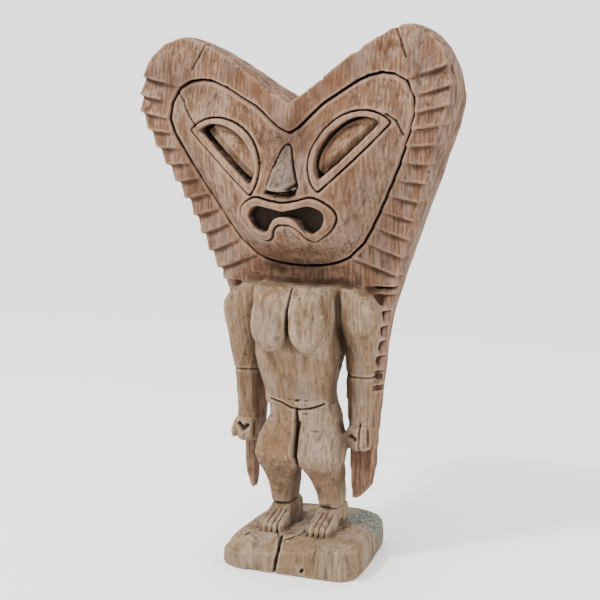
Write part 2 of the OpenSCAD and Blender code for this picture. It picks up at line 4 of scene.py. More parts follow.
import bpy
import numpy as np
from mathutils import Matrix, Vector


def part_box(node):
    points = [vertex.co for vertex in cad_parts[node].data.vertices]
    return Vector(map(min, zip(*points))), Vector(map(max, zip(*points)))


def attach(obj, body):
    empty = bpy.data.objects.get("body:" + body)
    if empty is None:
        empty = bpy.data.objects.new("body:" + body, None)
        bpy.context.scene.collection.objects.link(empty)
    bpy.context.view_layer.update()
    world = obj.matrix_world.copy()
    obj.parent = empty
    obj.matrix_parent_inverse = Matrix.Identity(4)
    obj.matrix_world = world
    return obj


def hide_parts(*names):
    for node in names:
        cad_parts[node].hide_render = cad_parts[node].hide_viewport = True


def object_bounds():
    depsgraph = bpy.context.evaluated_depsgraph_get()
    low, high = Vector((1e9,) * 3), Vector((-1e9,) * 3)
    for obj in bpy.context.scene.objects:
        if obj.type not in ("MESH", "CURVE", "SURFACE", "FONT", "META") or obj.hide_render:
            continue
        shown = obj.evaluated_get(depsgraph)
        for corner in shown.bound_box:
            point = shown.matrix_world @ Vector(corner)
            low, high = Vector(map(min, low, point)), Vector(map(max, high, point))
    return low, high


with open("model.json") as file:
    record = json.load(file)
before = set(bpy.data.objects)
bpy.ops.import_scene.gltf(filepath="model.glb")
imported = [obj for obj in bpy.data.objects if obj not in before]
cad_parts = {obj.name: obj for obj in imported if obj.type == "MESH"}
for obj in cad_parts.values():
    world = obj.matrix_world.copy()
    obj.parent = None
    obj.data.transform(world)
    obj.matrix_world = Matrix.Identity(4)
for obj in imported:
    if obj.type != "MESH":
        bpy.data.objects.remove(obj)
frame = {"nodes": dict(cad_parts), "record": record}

import openvdb as vdb
from mathutils import Vector

cad_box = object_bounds()
rng = np.random.default_rng(7)

# ---------------------------------------------------------------- camera and light

AZIMUTH = math.radians(20.0)
CAMERA_HEIGHT = 1.088
CAMERA_DISTANCE = 3.066
AIM = Vector((-0.015, 0.0, 0.593))


def make_camera():
    data = bpy.data.cameras.new("camera")
    data.lens = 83.8
    data.sensor_width = 36
    cam = bpy.data.objects.new("camera", data)
    bpy.context.collection.objects.link(cam)
    across, back = CAMERA_DISTANCE * math.sin(AZIMUTH), CAMERA_DISTANCE * math.cos(AZIMUTH)
    cam.location = (across, -back, CAMERA_HEIGHT)
    cam.rotation_euler = (AIM - cam.location).to_track_quat("-Z", "Y").to_euler()
    bpy.context.scene.camera = cam


def area_light(name, place, target, size, power):
    data = bpy.data.lights.new(name, "AREA")
    data.shape = "DISK"
    data.size = size
    data.energy = power
    lamp = bpy.data.objects.new(name, data)
    bpy.context.collection.objects.link(lamp)
    lamp.location = place
    lamp.rotation_euler = (Vector(target) - Vector(place)).to_track_quat("-Z", "Y").to_euler()


def plain_material(name, colour):
    mat = bpy.data.materials.new(name)
    mat.use_nodes = True
    shader = mat.node_tree.nodes["Principled BSDF"]
    shader.inputs["Base Color"].default_value = (*colour, 1)
    shader.inputs["Roughness"].default_value = 0.9
    return mat


def make_studio():
    world = bpy.data.worlds.new("studio")
    bpy.context.scene.world = world
    world.use_nodes = True
    world.node_tree.nodes["Background"].inputs["Color"].default_value = (1, 1, 1, 1)
    world.node_tree.nodes["Background"].inputs["Strength"].default_value = 2.1
    area_light("key", (-1.7, -2.2, 3.9), (0, 0, 0.7), 0.5, 190)
    area_light("fill", (2.6, -2.2, 1.6), (0, 0, 0.6), 2.2, 5)
    bpy.ops.mesh.primitive_plane_add(size=16, location=(0, 0, 0))
    floor = bpy.context.object
    floor.name = "floor"
    floor.data.materials.append(plain_material("floor", (0.93, 0.93, 0.92)))


# ---------------------------------------------------------------- distance fields

VOXEL = 0.0024
BAND = 10                      # voxels on each side of a surface
FAR = BAND * VOXEL
XFORM = vdb.createLinearTransform(voxelSize=VOXEL)
LOW = np.floor(np.array(cad_box[0]) / VOXEL).astype(int) - 6
SHAPE = tuple(np.ceil(np.array(cad_box[1]) / VOXEL).astype(int) + 7 - LOW)
NAMES = sorted(frame["nodes"])
NUMBER = {name: i for i, name in enumerate(NAMES)}
SIDES = ("left", "right")


def blurred(a, passes):
    """Soft copy of a field: each pass mixes a voxel with its neighbours along the three axes."""
    for _ in range(passes):
        for axis in range(3):
            b = np.moveaxis(a, axis, 0)
            c = b.copy()
            c[1:-1] = 0.5 * b[1:-1] + 0.25 * (b[:-2] + b[2:])
            a = np.moveaxis(c, 0, axis)
    return np.ascontiguousarray(a)


def trilinear(field, at):
    """Reading of a field at fractional indices."""
    base = np.clip(np.floor(at).astype(np.int32), 0, np.array(field.shape) - 2)
    part = np.clip(at - base, 0, 1).astype(np.float32)
    total = np.zeros(len(at), np.float32)
    for dx in (0, 1):
        for dy in (0, 1):
            for dz in (0, 1):
                w = np.abs(1 - dx - part[:, 0]) * np.abs(1 - dy - part[:, 1]) * np.abs(1 - dz - part[:, 2])
                total += w * field[base[:, 0] + dx, base[:, 1] + dy, base[:, 2] + dz]
    return total


def node_triangles(name):
    obj = frame["nodes"][name]
    mesh = obj.data
    mesh.calc_loop_triangles()
    points = np.empty(len(mesh.vertices) * 3, np.float32)
    mesh.vertices.foreach_get("co", points)
    world = np.array(obj.matrix_world, np.float32)
    points = points.reshape(-1, 3) @ world[:3, :3].T + world[:3, 3]
    tris = np.empty(len(mesh.loop_triangles) * 3, np.int32)
    mesh.loop_triangles.foreach_get("vertices", tris)
    return points.astype(np.float32), tris.reshape(-1, 3).astype(np.uint32)


def node_field(name, soften):
    """Signed distance of one CAD node on its own crop of the lattice, and that crop's slices."""
    points, tris = node_triangles(name)
    grid = vdb.FloatGrid.createLevelSetFromPolygons(points, triangles=tris, transform=XFORM, halfWidth=BAND)
    low = np.maximum(np.floor(points.min(0) / VOXEL).astype(int) - BAND - 2, LOW)
    high = np.minimum(np.ceil(points.max(0) / VOXEL).astype(int) + BAND + 3, LOW + SHAPE)
    field = np.empty(tuple(high - low), np.float32)
    grid.copyToArray(field, ijk=tuple(int(v) for v in low))
    crop = tuple(slice(a, b) for a, b in zip(low - LOW, high - LOW))
    return blurred(field, soften) if soften else field, crop


def smooth_min(a, b, k):
    h = np.clip(0.5 + 0.5 * (b - a) / k, 0, 1)
    return b + (a - b) * h - k * h * (1 - h)


def group_of(name):
    for start in ("crest_border", "crest", "face", "nose", "lips", "eyelid", "eyeball", "flange", "tail",
                  "base", "breast", "leg", "hips", "foot"):
        if name.startswith(start):
            return start
    return "body"


# How much each group of nodes is rounded, in blur passes, and how softly it meets the rest, in metres
SOFTEN = {"crest_border": 1, "crest": 5, "face": 2, "nose": 1, "lips": 1, "eyelid": 1, "eyeball": 2,
          "flange": 2, "tail": 1, "base": 2, "body": 3, "breast": 3, "leg": 1, "hips": 2, "foot": 1}
BLEND = {"crest_border": 0.004, "crest": 0.004, "face": 0.003, "nose": 0.005, "lips": 0.002, "eyelid": 0.001,
         "eyeball": 0.001, "flange": 0.007, "tail": 0.004, "base": 0.006, "body": 0.013, "breast": 0.010,
         "leg": 0.010, "hips": 0.012, "foot": 0.007}


class Log:
    """The whole carving as one field, with each node's own field kept to part it again."""

    def __init__(self):
        self.whole = np.full(SHAPE, FAR, np.float32)
        self.first = np.full(SHAPE, FAR, np.float32)
        self.second = np.full(SHAPE, FAR, np.float32)
        self.label = np.zeros(SHAPE, np.int8)
        self.painted_shade_and_crack_dark = np.zeros(SHAPE, np.float32)
        self.fields = {}
        for name in NAMES:
            group = group_of(name)
            field, crop = node_field(name, SOFTEN[group])
            self.fields[name] = (field, crop)
            self.whole[crop] = smooth_min(self.whole[crop], field, BLEND[group])
            first, second = self.first[crop], self.second[crop]
            nearer = field < first
            self.label[crop][nearer] = NUMBER[name]
            second[:] = np.minimum(second, np.maximum(first, field))
            first[:] = np.minimum(first, field)

    def field_on(self, names, crop):
        """The union of some nodes, read on a crop of the lattice."""
        out = np.full(tuple(c.stop - c.start for c in crop), FAR, np.float32)
        for name in names:
            field, own = self.fields[name]
            low = [max(a.start, b.start) for a, b in zip(crop, own)]
            high = [min(a.stop, b.stop) for a, b in zip(crop, own)]
            if all(h > l for l, h in zip(low, high)):
                here = tuple(slice(l - c.start, h - c.start) for l, h, c in zip(low, high, crop))
                there = tuple(slice(l - c.start, h - c.start) for l, h, c in zip(low, high, own))
                out[here] = np.minimum(out[here], field[there])
        return out

    def groove(self, name, others, width, depth, painted_shade_and_crack_dark):
        """A carved line along the seam between one node and its neighbours, darkened with painted shade."""
        field, crop = self.fields[name]
        other = self.field_on(others, crop)
        gap = np.abs(field - other)
        gap[np.maximum(field, other) > 0.8 * FAR] = FAR
        line = np.exp(-((gap / width) ** 2))
        self.whole[crop] += depth * line
        self.painted_shade_and_crack_dark[crop] = np.maximum(self.painted_shade_and_crack_dark[crop], painted_shade_and_crack_dark * line)

    def window(self, low, high):
        """Slices and voxel places of a box given in metres."""
        a = np.clip(np.floor(np.asarray(low) / VOXEL).astype(int) - LOW, 0, np.array(SHAPE) - 1)
        b = np.clip(np.ceil(np.asarray(high) / VOXEL).astype(int) - LOW + 1, a + 1, SHAPE)
        crop = tuple(slice(int(i), int(j)) for i, j in zip(a, b))
        axes = [(np.arange(i, j) + l) * VOXEL for i, j, l in zip(a, b, LOW)]
        return crop, np.meshgrid(*axes, indexing="ij", sparse=True)

    def cut_line(self, path, across, width, depth, painted_shade_and_crack_dark):
        """A carved or cracked line over the surface, pressed in along the axis numbered across, and darkened:
        a crack with its own dark, a carved line with painted shade.
        """
        path = np.asarray(path, float)
        room = np.full(3, 4 * width)
        room[across] = 0.022
        keep = np.ones(3)
        keep[across] = 0
        for a, b in zip(path[:-1], path[1:]):
            crop, (x, y, z) = self.window(np.minimum(a, b) - room, np.maximum(a, b) + room)
            d = (b - a) * keep
            t = np.clip(((x - a[0]) * d[0] + (y - a[1]) * d[1] + (z - a[2]) * d[2]) / (d @ d), 0, 1)
            gap = sum(k * (v - p - t * e) ** 2 for k, v, p, e in zip(keep, (x, y, z), a, d))
            line = np.exp(-gap / width ** 2)
            self.whole[crop] += (depth * line * (np.abs(self.whole[crop]) < 0.8 * FAR)).astype(np.float32)
            self.painted_shade_and_crack_dark[crop] = np.maximum(self.painted_shade_and_crack_dark[crop], painted_shade_and_crack_dark * line)

    def scoop(self, place, normal, depth, radius, stretch):
        """Cuts a shallow hollow with a ball that is stretched along Z."""
        size = 1.25 * math.sqrt(2 * radius * depth) * np.array([1, 1, stretch]) + 2 * VOXEL
        crop, (x, y, z) = self.window(place - size, place + size)
        centre = place + normal * (radius - depth) * np.array([1, 1, stretch])
        gap = np.sqrt((x - centre[0]) ** 2 + (y - centre[1]) ** 2 + ((z - centre[2]) / stretch) ** 2)
        cut = radius - gap
        here = self.whole[crop]
        if not np.any((cut > 0) & (here < -depth - 0.5 * VOXEL)):
            self.whole[crop] = np.maximum(here, cut)

    def shell(self, reach):
        """Voxels within reach of the surface: their indices and their places in metres."""
        index = np.nonzero(np.abs(self.whole) < reach)
        return index, ((np.stack(index, -1) + LOW) * VOXEL).astype(np.float32)

    def normals_at(self, index):
        x, y, z = index
        w = self.whole
        n = np.stack([w[x + 1, y, z] - w[x - 1, y, z], w[x, y + 1, z] - w[x, y - 1, z],
                      w[x, y, z + 1] - w[x, y, z - 1]], -1)
        return n / np.maximum(np.linalg.norm(n, axis=1, keepdims=True), 1e-9)

    def piece_field(self, name):
        """One node's share of the carving; where neighbours overlap, it dips just under them."""
        field, crop = self.fields[name]
        first, second = self.first[crop], self.second[crop]
        others = np.where(field <= first + 1e-7, second, first)
        own = 0.5 * (field - others)
        inset = np.clip(0.2 * own, 0, 0.0004)
        return np.maximum(self.whole[crop] + inset, own - 1.2 * VOXEL), crop


class Noise:
    """Smooth random values in space, with its own grain size along each axis."""

    def __init__(self, grain):
        self.grain = np.asarray(grain, float)
        low, high = np.array(cad_box[0]) - 0.02, np.array(cad_box[1]) + 0.02
        self.low = low
        cells = np.ceil((high - low) / self.grain).astype(int) + 3
        self.values = blurred(rng.normal(0, 1, tuple(cells)).astype(np.float32), 1)
        self.values /= self.values.std()

    def __call__(self, points):
        return trilinear(self.values, (points - self.low) / self.grain + 1)


# ---------------------------------------------------------------- carving

# Carved seams: node, its neighbours, width, depth, darkness of the painted shade in the groove
GROOVES = (
    [("forearm_left", ["upper_arm_left"], 0.0022, 0.003, 0.6),
     ("forearm_right", ["upper_arm_right"], 0.0024, 0.0035, 0.7)]
    + [(f"forearm_{s}", [f"hand_{s}"], 0.003, 0.0014, 0.15) for s in SIDES]
    + [(f"leg_{s}", [f"foot_{s}"], 0.0022, 0.0026, 0.6) for s in SIDES]
    + [("leg_left", ["leg_right"], 0.004, 0.006, 0.9)]
    + [("face", ["crest_border_left", "crest_border_right"], 0.0030, 0.010, 0.95)]
    + [(f"eyelid_{s}", ["face"], 0.0024, 0.006, 0.9) for s in SIDES]
    + [(f"eyelid_{s}", [f"eyeball_{s}"], 0.0034, 0.007, 1.0) for s in SIDES]
    + [("lips", ["face"], 0.0024, 0.006, 0.9)]
    + [("nose", ["face"], 0.003, 0.003, 0.45)]
)

# Cracks and single carved lines over the surface: path, axis they are cut along, width, depth, darkness (the
# dark of a crack, painted shade in a carved line)
LINES = [
    ([(-0.007, -0.080, 0.632), (-0.003, -0.090, 0.611), (-0.009, -0.100, 0.584), (-0.010, -0.100, 0.559),
      (-0.011, -0.100, 0.528)], 1, 0.0022, 0.006, 1.0),
    ([(-0.060, -0.050, 0.380), (-0.034, -0.062, 0.372), (-0.014, -0.062, 0.361), (0.006, -0.062, 0.358),
      (0.030, -0.062, 0.362), (0.060, -0.050, 0.373)], 1, 0.0020, 0.0055, 0.9),
    ([(0.000, -0.066, 0.379), (0.005, -0.066, 0.380)], 1, 0.0028, 0.005, 1.0),
    ([(-0.040, -0.062, 0.388), (-0.014, -0.066, 0.381), (0.024, -0.066, 0.381), (0.050, -0.060, 0.386)],
     1, 0.0020, 0.0012, 0.25),
    ([(-0.001, -0.060, 0.358), (-0.003, -0.060, 0.326), (-0.002, -0.060, 0.250)], 1, 0.0034, 0.010, 1.0),
    ([(-0.021, -0.118, 0.074), (-0.019, -0.125, 0.051), (-0.024, -0.130, 0.028), (-0.028, -0.130, 0.000)],
     1, 0.0030, 0.012, 1.0),
    ([(-0.021, -0.116, 0.074), (0.000, -0.104, 0.078), (0.014, -0.088, 0.080), (0.020, -0.060, 0.080)],
     2, 0.0022, 0.005, 0.9),
    ([(-0.021, -0.116, 0.074), (-0.040, -0.080, 0.080)], 2, 0.0018, 0.003, 0.6),
    ([(0.098, -0.050, 0.080), (0.106, -0.049, 0.080)], 2, 0.0032, 0.008, 1.0),
    ([(0.037, -0.135, 0.013), (0.040, -0.135, 0.018)], 1, 0.0032, 0.009, 1.0),
    ([(-0.106, -0.101, 0.074), (-0.100, -0.099, 0.075)], 2, 0.0030, 0.007, 1.0),
    ([(-0.285, -0.055, 1.052), (-0.268, -0.060, 1.032), (-0.257, -0.068, 1.010), (-0.243, -0.073, 0.992),
      (-0.230, -0.080, 0.974)], 1, 0.0018, 0.004, 0.8),
    ([(0.200, -0.075, 1.008), (0.224, -0.073, 0.994), (0.238, -0.070, 0.965)], 1, 0.0020, 0.005, 0.9),
    ([(-0.222, -0.030, 1.160), (-0.236, -0.043, 1.128), (-0.250, -0.050, 1.100)], 1, 0.0020, 0.004, 0.8),
    ([(0.206, -0.020, 1.192), (0.222, -0.040, 1.160), (0.236, -0.048, 1.125)], 1, 0.0020, 0.004, 0.7),
    ([(0.020, -0.020, 1.050), (0.045, -0.030, 1.075), (0.060, -0.030, 1.082)], 1, 0.0018, 0.003, 0.6),
    ([(-0.046, -0.120, 0.841), (-0.028, -0.130, 0.838), (0.004, -0.130, 0.837), (0.016, -0.125, 0.841)],
     1, 0.0050, 0.012, 1.0),
    ([(0.008, -0.140, 0.850), (0.020, -0.135, 0.858)], 1, 0.0036, 0.007, 1.0),
    ([(-0.156, -0.030, 0.302), (-0.146, -0.030, 0.292), (-0.136, -0.030, 0.300)], 1, 0.0045, 0.012, 0.9),
    ([(-0.120, -0.030, 0.330), (-0.122, -0.030, 0.300), (-0.122, -0.030, 0.262)], 1, 0.0022, 0.004, 0.6),
    ([(0.112, -0.030, 0.296), (0.122, -0.030, 0.290)], 1, 0.0045, 0.010, 0.9),
    ([(0.132, -0.030, 0.325), (0.130, -0.030, 0.262)], 1, 0.0022, 0.004, 0.6),
    ([(0.148, -0.030, 0.335), (0.150, -0.030, 0.262)], 1, 0.0026, 0.004, 0.7),
]
TOES = {"left": [(-0.072, -0.076), (-0.060, -0.063), (-0.048, -0.050), (-0.038, -0.038)],
        "right": [(0.040, 0.034), (0.051, 0.047), (0.063, 0.060), (0.075, 0.074)]}


def smooth_step(v, low, high):
    t = np.clip((v - low) / (high - low), 0, 1)
    return t * t * (3 - 2 * t)


def upper_chest(log):
    """The top of the chest swells forward to the level of the breasts."""
    field, crop = log.fields["torso"]
    x, y, z = (v * VOXEL for v in np.ogrid[tuple(slice(c.start + l, c.stop + l) for c, l in zip(crop, LOW))])
    swell = 0.017 * smooth_step(z, 0.535, 0.588) * (1 - smooth_step(z, 0.606, 0.634))
    swell = swell * smooth_step(-y, 0.02, 0.06)
    fuller = (field - swell * (1 - smooth_step(np.abs(x + 0.008), 0.060, 0.086))).astype(np.float32)
    log.whole[crop] = smooth_min(log.whole[crop], fuller, 0.012)


def toe_lines(log):
    for side, lines in TOES.items():
        for back, front in lines:
            path = [(back, -0.028, 0.112), (front, -0.062, 0.100), (front, -0.092, 0.090)]
            # The toe lines are darkened with painted shade
            log.cut_line(path, 2, 0.0014, 0.0026, 0.55)


def flange_steps(log):
    """Ridges like the crest's carry on down the flange behind the right arm."""
    crop, (x, y, z) = log.window((0.135, 0.0, 0.40), (0.24, 0.05, 0.63))
    step = ((0.612 - z) / 0.034) % 1.0
    amount = 0.009 * smooth_step(1 - step, 0.0, 1.0) * smooth_step(x, 0.150, 0.165)
    amount = amount * smooth_step(-y, -0.040, -0.022)
    log.whole[crop] += np.where(log.first[crop] < FAR, amount, 0).astype(np.float32)


def lobe_flutes(log, index, points):
    """Fine gouge strokes fan out over the plain top of the border."""
    x, y, z = points.T
    label = log.label[index]
    border = np.isin(label, [NUMBER["crest_border_left"], NUMBER["crest_border_right"]])
    side = np.where(x > -0.02, 1, -1)
    angle = np.arctan2(z - 1.00, side * (x + 0.02) - 0.17)
    top = smooth_step(z, 1.06, 1.10) * border * np.where(side > 0, 1.0, 0.5)
    reach = smooth_step(side * (x + 0.02), 0.10, 0.20)
    return top * reach * 0.0016 * np.abs(np.sin(angle * 17 + 0.6 * np.sin(9 * angle)))


def eye_hollows(log):
    """Each eyeball is a crescent: a ridge along the straight edge, hollowed behind it."""
    turn = math.radians(42.8)
    for side, sign in (("left", -1), ("right", 1)):
        field, crop = log.fields[f"eyeball_{side}"]
        low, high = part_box(f"eyeball_{side}")
        window, (x, y, z) = log.window(low, high)
        edge_x, edge_z = (high[0], low[2]) if sign < 0 else (low[0], low[2])
        across = (z - edge_z) * math.cos(turn) - sign * (x - edge_x) * math.sin(turn)
        own = log.field_on([f"eyeball_{side}"], window)
        low_side = 0.006 * (1 - smooth_step(across, 0.003, 0.016))
        behind = 0.004 * smooth_step(across, 0.020, 0.050)
        inside = own < 0.006
        log.whole[window] += np.where(inside, low_side + behind, 0).astype(np.float32)
        # The lowered strip along the straight edge is darkened with painted shade
        log.painted_shade_and_crack_dark[window] = np.maximum(log.painted_shade_and_crack_dark[window], np.where(inside, 75 * low_side, 0).astype(np.float32))


def mouth_shade(log):
    """The floor and the walls of the open mouth are darkened with their depth."""
    for opening in frame["record"]["physics"]["openings"]:
        if not opening["name"].startswith("mouth"):
            continue
        low, high = opening["box_m"]
        crop, (x, y, z) = log.window((low[0] - 0.014, -0.124, low[2] - 0.014),
                                     (high[0] + 0.014, -0.070, high[2] + 0.014))
        past = [np.maximum(np.maximum(low[i] - v, v - high[i]), 0) for i, v in ((0, x), (2, z))]
        near = 1 - smooth_step(np.sqrt(past[0] ** 2 + past[1] ** 2), 0.007, 0.012)
        shade = near * smooth_step(y, -0.116, -0.098) * (log.field_on(["lips"], crop) > -0.002)
        log.painted_shade_and_crack_dark[crop] = np.maximum(log.painted_shade_and_crack_dark[crop], shade.astype(np.float32))


# Gouge marks: group -> number, radius, depth range, stretch along Z
MARKS = {"face": (700, 0.034, (0.0003, 0.0009), 1.3), "crest": (900, 0.050, (0.0005, 0.0015), 2.0),
         "crest_border": (1100, 0.030, (0.0003, 0.0009), 1.8), "body": (800, 0.036, (0.0004, 0.0012), 2.0),
         "leg": (420, 0.034, (0.0005, 0.0014), 2.4), "hips": (60, 0.034, (0.0004, 0.0010), 1.6),
         "breast": (160, 0.030, (0.0002, 0.0007), 1.6), "flange": (300, 0.034, (0.0006, 0.0016), 2.2),
         "tail": (120, 0.026, (0.0005, 0.0014), 2.0), "base": (500, 0.048, (0.0006, 0.0022), 1.0),
         "nose": (40, 0.020, (0.0003, 0.0009), 1.6), "foot": (70, 0.026, (0.0003, 0.0009), 1.0)}


def gouge_marks(log):
    index, points = log.shell(0.6 * VOXEL)
    groups = np.array([group_of(n) for n in NAMES])
    owner = groups[log.label[index]]
    for group, (count, radius, depths, stretch) in MARKS.items():
        own = np.nonzero(owner == group)[0]
        pick = rng.choice(own, min(count, len(own)), replace=False)
        normals = log.normals_at(tuple(i[pick] for i in index))
        depth = rng.uniform(*depths, len(pick))
        spread = radius * rng.uniform(0.7, 1.4, len(pick))
        for p, n, d, r in zip(points[pick], normals, depth, spread):
            log.scoop(p, n, d, r, stretch)


def weathering(log):
    """Slow waviness everywhere, and bites out of the sharp edges."""
    soft = blurred(log.whole, 2)
    index, points = log.shell(0.012)
    edge = np.clip((soft[index] - log.whole[index]) / 0.0004, 0, 1)
    wave = Noise((0.045, 0.045, 0.080))(points)
    mid = Noise((0.016, 0.016, 0.034))(points)
    fine = Noise((0.0055, 0.0055, 0.016))(points)
    bite = np.clip(mid + 0.5 * fine - 0.3, 0, 2)
    change = 0.0007 * wave + 0.0004 * mid + 0.00022 * fine + 0.0014 * edge * bite
    log.whole[index] += change + lobe_flutes(log, index, points)


# Painted shade where shade falls under and between parts, partly real dark staining: centre, reach along each
# axis, strength. Fixed places, like those of LINES and TOES:
# they were read off the original figure, so they don't follow the part if its sizes change
SHADE_AND_STAINS = [
    ((0.000, -0.085, 0.955), (0.055, 0.09, 0.045), 0.75),
    ((0.030, -0.075, 0.712), (0.130, 0.06, 0.024), 0.70),
    ((-0.020, -0.002, 0.668), (0.110, 0.06, 0.022), 0.95),
    ((-0.240, -0.035, 0.870), (0.030, 0.06, 0.100), 0.45),
    ((0.095, -0.010, 0.500), (0.022, 0.05, 0.090), 0.95),
    ((0.090, 0.010, 0.400), (0.030, 0.05, 0.080), 0.80),
    ((-0.112, -0.020, 0.490), (0.026, 0.06, 0.090), 0.90),
    ((-0.120, 0.010, 0.380), (0.040, 0.03, 0.110), 0.70),
    ((0.104, -0.005, 0.290), (0.018, 0.06, 0.080), 0.90),
    ((0.094, -0.005, 0.180), (0.014, 0.05, 0.070), 0.90),
    ((0.000, -0.010, 0.165), (0.034, 0.05, 0.055), 0.90),
    ((0.000, 0.010, 0.095), (0.050, 0.05, 0.026), 0.65),
    ((-0.280, -0.050, 1.085), (0.050, 0.06, 0.060), 0.50),
    ((0.190, -0.040, 0.760), (0.060, 0.05, 0.080), 0.35),
    ((0.020, -0.070, 0.400), (0.060, 0.05, 0.024), 0.35),
    ((-0.120, 0.030, 0.290), (0.026, 0.03, 0.110), 0.70),
    ((-0.138, 0.010, 0.220), (0.020, 0.03, 0.040), 0.45),
    ((0.120, 0.015, 0.240), (0.016, 0.04, 0.090), 0.50),
    ((-0.060, -0.060, 0.205), (0.040, 0.05, 0.022), 0.45),
    ((0.040, -0.060, 0.205), (0.036, 0.05, 0.022), 0.35),
    ((-0.100, -0.020, 0.100), (0.050, 0.05, 0.040), 0.35),
    ((0.300, -0.055, 0.960), (0.012, 0.04, 0.110), 0.30),
]


def shade_and_stains_at(points):
    """Painted shade under and between parts, partly real dark staining: how dark it is at each place."""
    total = np.zeros(len(points), np.float32)
    for centre, reach, strength in SHADE_AND_STAINS:
        gap = (((points - centre) / reach) ** 2).sum(1)
        total = np.maximum(total, strength * np.exp(-gap))
    return total


# ---------------------------------------------------------------- pieces

def mesh_of(field, crop, name):
    low = [int(v + c.start) for v, c in zip(LOW, crop)]
    grid = vdb.FloatGrid(FAR)
    grid.copyFromArray(np.ascontiguousarray(np.clip(field, -FAR, FAR)), ijk=tuple(low))
    grid.transform = XFORM
    points, quads = grid.convertToQuads(0)
    points = np.clip(points, *cad_box).astype(np.float32)
    mesh = bpy.data.meshes.new(name)
    mesh.vertices.add(len(points))
    mesh.vertices.foreach_set("co", points.ravel())
    mesh.loops.add(quads.size)
    mesh.loops.foreach_set("vertex_index", quads[:, ::-1].astype(np.int32).ravel())
    mesh.polygons.add(len(quads))
    mesh.polygons.foreach_set("loop_start", np.arange(0, quads.size, 4, dtype=np.int32))
    mesh.update(calc_edges=True)
    mesh.validate()
    mesh.polygons.foreach_set("use_smooth", np.ones(len(quads), bool))
    return mesh, points


def make_pieces(log, materials, slots):
    near = blurred(log.whole, 3)
    wide = blurred(np.ascontiguousarray(near[::2, ::2, ::2]), 7)
    for name in NAMES:
        field, crop = log.piece_field(name)
        mesh, points = mesh_of(field, crop, name)
        at = points / VOXEL - LOW
        # fine and broad: how far the surface sinks into creases and hollows, read by the materials to paint
        # shade there and, for fine, to pale the worn raised edges
        for label, soft, scale, reach in (("fine", near, 1, 0.0010), ("broad", wide, 2, 0.006)):
            value = np.clip(trilinear(soft, at / scale) / reach, -1, 1)
            mesh.attributes.new(label, "FLOAT", "POINT").data.foreach_set("value", value)
        # Painted shade in grooves, carved lines, hollows and the open mouth, with the dark of cracks
        value = np.clip(trilinear(log.painted_shade_and_crack_dark, at), 0, 1)
        mesh.attributes.new("painted_shade_and_crack_dark", "FLOAT", "POINT").data.foreach_set("value", value)
        # Painted shade under and between parts, partly real dark staining
        value = shade_and_stains_at(points).astype(np.float32)
        mesh.attributes.new("painted_shade_and_stain", "FLOAT", "POINT").data.foreach_set("value", value)
        mesh.materials.append(materials[slots[name]])
        obj = bpy.data.objects.new("wood_" + name, mesh)
        bpy.context.collection.objects.link(obj)
        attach(obj, "root")
        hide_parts(name)


# ---------------------------------------------------------------- weathered wood

class Nodes:
    """Short calls for the node graph of one material."""

    def __init__(self, name):
        self.mat = bpy.data.materials.new(name)
        self.mat.use_nodes = True
        self.tree = self.mat.node_tree
        self.shader = self.tree.nodes["Principled BSDF"]

    def add(self, kind, **props):
        node = self.tree.nodes.new(kind)
        for key, value in props.items():
            setattr(node, key, value)
        return node

    def put(self, socket, value):
        if isinstance(value, bpy.types.NodeSocket):
            self.tree.links.new(value, socket)
        else:
            socket.default_value = value

    def math(self, op, a, b=0.0, c=0.0, clamp=False):
        node = self.add("ShaderNodeMath", operation=op, use_clamp=clamp)
        for socket, value in zip(node.inputs, (a, b, c)):
            self.put(socket, value)
        return node.outputs[0]

    def spread(self, value, low, high, to_low=0.0, to_high=1.0):
        node = self.add("ShaderNodeMapRange", interpolation_type="SMOOTHSTEP")
        for key, v in (("Value", value), ("From Min", low), ("From Max", high), ("To Min", to_low),
                       ("To Max", to_high)):
            self.put(node.inputs[key], v)
        return node.outputs["Result"]

    def place(self, scale, offset=(0, 0, 0)):
        coords = self.add("ShaderNodeTexCoord").outputs["Object"]
        node = self.add("ShaderNodeMapping")
        self.put(node.inputs["Vector"], coords)
        self.put(node.inputs["Scale"], scale)
        self.put(node.inputs["Location"], offset)
        return node.outputs["Vector"]

    def noise(self, vector, scale, detail=4.0, rough=0.55, twist=0.0):
        node = self.add("ShaderNodeTexNoise")
        for key, v in (("Vector", vector), ("Scale", scale), ("Detail", detail), ("Roughness", rough),
                       ("Distortion", twist)):
            self.put(node.inputs[key], v)
        return node.outputs["Fac"]

    def rings(self, vector, scale, twist):
        node = self.add("ShaderNodeTexWave", wave_type="RINGS", rings_direction="Z", wave_profile="SIN")
        for key, v in (("Vector", vector), ("Scale", scale), ("Distortion", twist), ("Detail", 2.0),
                       ("Detail Scale", 0.6)):
            self.put(node.inputs[key], v)
        return node.outputs["Fac"]

    def blend(self, factor, a, b, mode="MIX"):
        node = self.add("ShaderNodeMix", data_type="RGBA", blend_type=mode, clamp_factor=True)
        self.put(node.inputs["Factor"], factor)
        for key, v in (("A", a), ("B", b)):
            socket = [s for s in node.inputs if s.name == key and s.type == "RGBA"][0]
            self.put(socket, (*v, 1) if isinstance(v, tuple) else v)
        return [s for s in node.outputs if s.type == "RGBA"][0]

    def attribute(self, name):
        return self.add("ShaderNodeAttribute", attribute_name=name).outputs["Fac"]

    def axis(self, name):
        node = self.add("ShaderNodeSeparateXYZ")
        self.put(node.inputs[0], self.add("ShaderNodeTexCoord").outputs["Object"])
        return node.outputs[name]


